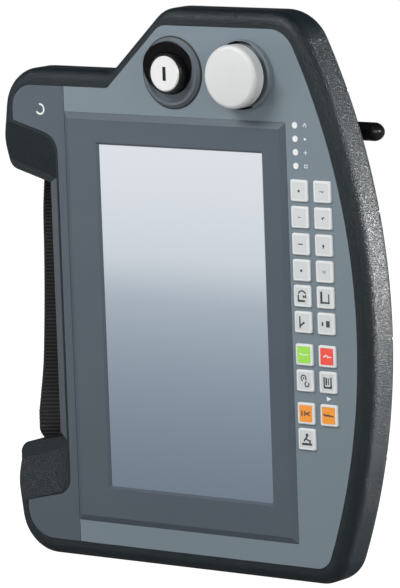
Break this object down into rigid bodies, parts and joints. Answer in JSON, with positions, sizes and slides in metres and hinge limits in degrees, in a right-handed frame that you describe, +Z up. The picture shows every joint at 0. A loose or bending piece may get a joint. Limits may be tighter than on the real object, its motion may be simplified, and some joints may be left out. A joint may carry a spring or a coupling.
{
  "type": "teach pendant",
  "caption": "Hand-held robot teach pendant with a tall touch display, side keys, emergency stop, key switch, hand strap and enabling lever.",
  "frame": {"origin": "middle of the bounding box, on the ground that the bottom edge stands on", "axes": "+X to the operator's right, +Y from the operator into the housing, +Z up along the display's long side"},
  "size_m": [0.2912, 0.0812, 0.3618],
  "materials": {
    "shell": "soft-touch black with a leather grain",
    "seal": "matt",
    "screw": "zinc plated",
    "plate": "mill finish",
    "main_foil": "satin blue-grey polyester foil",
    "dark_foil": "satin slate polyester foil",
    "bezel": "satin slate",
    "screen_glass": "glossy, display lit pale blue-grey",
    "module": "display module with its sheet back",
    "sheet": "plain sheet",
    "board": "green solder mask",
    "heatsink": "black anodised",
    "lens": "clear white",
    "black_plastic": "moulded black",
    "mushroom": "pale grey, satin",
    "spring": "drawn wire",
    "collar": "dark slate",
    "lock_face": "bright satin",
    "stylus": "black, semi-gloss",
    "lever": "ribbed black rubber skin",
    "gland": "black polyamide",
    "strap": "ribbed black webbing",
    "rubber": "matt",
    "key": "pale grey, satin",
    "green_key": "lime green, satin",
    "red_key": "red, satin",
    "orange_key": "orange, satin"
  },
  "bodies": {
    "housing": {"front_shell": "shell", "rear_shell": "shell", "rim_seal": "seal", "housing_screws": "screw", "front_panel": "plate", "main_fascia": "main_foil", "left_fascia": "dark_foil", "display_bezel": "bezel", "touch_glass": "screen_glass", "lcd_module": "module", "display_bracket": "sheet", "inner_screws": "screw", "main_board": "board", "processor_heatsink": "heatsink", "keypad_board": "board", "key_domes": "sheet", "status_lenses": "lens", "estop_collar": "black_plastic", "estop_spring": "spring", "estop_contact_block": "black_plastic", "keyswitch_collar": "collar", "keyswitch_barrel": "black_plastic", "keyswitch_contact_block": "black_plastic", "panel_nuts": "black_plastic", "enabling_pin": "spring", "enabling_switch": "black_plastic", "connection_cover": "shell", "cover_screws": "screw", "cable_gland": "gland", "gland_nut": "gland", "hand_strap": "strap", "strap_anchors": "black_plastic", "strap_clamps": "black_plastic", "strap_screws": "screw", "rear_feet": "rubber"},
    "estop_plunger": {"estop_plunger": "black_plastic"},
    "estop_head": {"estop_head": "mushroom"},
    "keyswitch_rotor": {"keyswitch_rotor": "lock_face"},
    "stylus": {"stylus": "stylus"},
    "enabling_lever": {"enabling_lever": "lever"},
    "key_01": {"key_01": "key"},
    "key_02": {"key_02": "key"},
    "key_03": {"key_03": "key"},
    "key_04": {"key_04": "key"},
    "key_05": {"key_05": "key"},
    "key_06": {"key_06": "key"},
    "key_07": {"key_07": "key"},
    "key_08": {"key_08": "key"},
    "key_09": {"key_09": "key"},
    "key_10": {"key_10": "key"},
    "key_11": {"key_11": "key"},
    "key_12": {"key_12": "key"},
    "key_13": {"key_13": "green_key"},
    "key_14": {"key_14": "red_key"},
    "key_15": {"key_15": "key"},
    "key_16": {"key_16": "key"},
    "key_17": {"key_17": "orange_key"},
    "key_18": {"key_18": "orange_key"},
    "key_19": {"key_19": "key"}
  },
  "joints": [
    {"name": "key_01_press", "type": "slide", "parent": "housing", "child": "key_01", "axis": [0, 1, 0], "range_m": [0, 0.0006], "stiffness_N_per_m": 3000},
    {"name": "key_02_press", "type": "slide", "parent": "housing", "child": "key_02", "axis": [0, 1, 0], "range_m": [0, 0.0006], "stiffness_N_per_m": 3000},
    {"name": "key_03_press", "type": "slide", "parent": "housing", "child": "key_03", "axis": [0, 1, 0], "range_m": [0, 0.0006], "stiffness_N_per_m": 3000},
    {"name": "key_04_press", "type": "slide", "parent": "housing", "child": "key_04", "axis": [0, 1, 0], "range_m": [0, 0.0006], "stiffness_N_per_m": 3000},
    {"name": "key_05_press", "type": "slide", "parent": "housing", "child": "key_05", "axis": [0, 1, 0], "range_m": [0, 0.0006], "stiffness_N_per_m": 3000},
    {"name": "key_06_press", "type": "slide", "parent": "housing", "child": "key_06", "axis": [0, 1, 0], "range_m": [0, 0.0006], "stiffness_N_per_m": 3000},
    {"name": "key_07_press", "type": "slide", "parent": "housing", "child": "key_07", "axis": [0, 1, 0], "range_m": [0, 0.0006], "stiffness_N_per_m": 3000},
    {"name": "key_08_press", "type": "slide", "parent": "housing", "child": "key_08", "axis": [0, 1, 0], "range_m": [0, 0.0006], "stiffness_N_per_m": 3000},
    {"name": "key_09_press", "type": "slide", "parent": "housing", "child": "key_09", "axis": [0, 1, 0], "range_m": [0, 0.0006], "stiffness_N_per_m": 3000},
    {"name": "key_10_press", "type": "slide", "parent": "housing", "child": "key_10", "axis": [0, 1, 0], "range_m": [0, 0.0006], "stiffness_N_per_m": 3000},
    {"name": "key_11_press", "type": "slide", "parent": "housing", "child": "key_11", "axis": [0, 1, 0], "range_m": [0, 0.0006], "stiffness_N_per_m": 3000},
    {"name": "key_12_press", "type": "slide", "parent": "housing", "child": "key_12", "axis": [0, 1, 0], "range_m": [0, 0.0006], "stiffness_N_per_m": 3000},
    {"name": "key_13_press", "type": "slide", "parent": "housing", "child": "key_13", "axis": [0, 1, 0], "range_m": [0, 0.0006], "stiffness_N_per_m": 3000},
    {"name": "key_14_press", "type": "slide", "parent": "housing", "child": "key_14", "axis": [0, 1, 0], "range_m": [0, 0.0006], "stiffness_N_per_m": 3000},
    {"name": "key_15_press", "type": "slide", "parent": "housing", "child": "key_15", "axis": [0, 1, 0], "range_m": [0, 0.0006], "stiffness_N_per_m": 3000},
    {"name": "key_16_press", "type": "slide", "parent": "housing", "child": "key_16", "axis": [0, 1, 0], "range_m": [0, 0.0006], "stiffness_N_per_m": 3000},
    {"name": "key_17_press", "type": "slide", "parent": "housing", "child": "key_17", "axis": [0, 1, 0], "range_m": [0, 0.0006], "stiffness_N_per_m": 3000},
    {"name": "key_18_press", "type": "slide", "parent": "housing", "child": "key_18", "axis": [0, 1, 0], "range_m": [0, 0.0006], "stiffness_N_per_m": 3000},
    {"name": "key_19_press", "type": "slide", "parent": "housing", "child": "key_19", "axis": [0, 1, 0], "range_m": [0, 0.0006], "stiffness_N_per_m": 3000},
    {"name": "estop_press", "type": "slide", "parent": "housing", "child": "estop_plunger", "axis": [0, 1, 0], "range_m": [0, 0.004], "deforming": ["estop_spring"]},
    {"name": "estop_twist_release", "type": "hinge", "parent": "estop_plunger", "child": "estop_head", "pos_m": [0.0547, -0.02319, 0.3217], "axis": [0, 1, 0], "range_deg": [0, 40], "stiffness_Nm_per_rad": 0.05},
    {"name": "key_switch_turn", "type": "hinge", "parent": "housing", "child": "keyswitch_rotor", "pos_m": [-0.0018, -0.02319, 0.3212], "axis": [0, 1, 0], "range_deg": [0, 90]},
    {"name": "stylus_draw", "type": "slide", "parent": "housing", "child": "stylus", "axis": [1, 0, 0], "range_m": [0, 0.12]},
    {"name": "enabling_lever_press", "type": "hinge", "parent": "housing", "child": "enabling_lever", "pos_m": [-0.0658, 0.00481, 0.1613], "axis": [0, 0, 1], "range_deg": [0, 6], "stiffness_Nm_per_rad": 4}
  ]
}
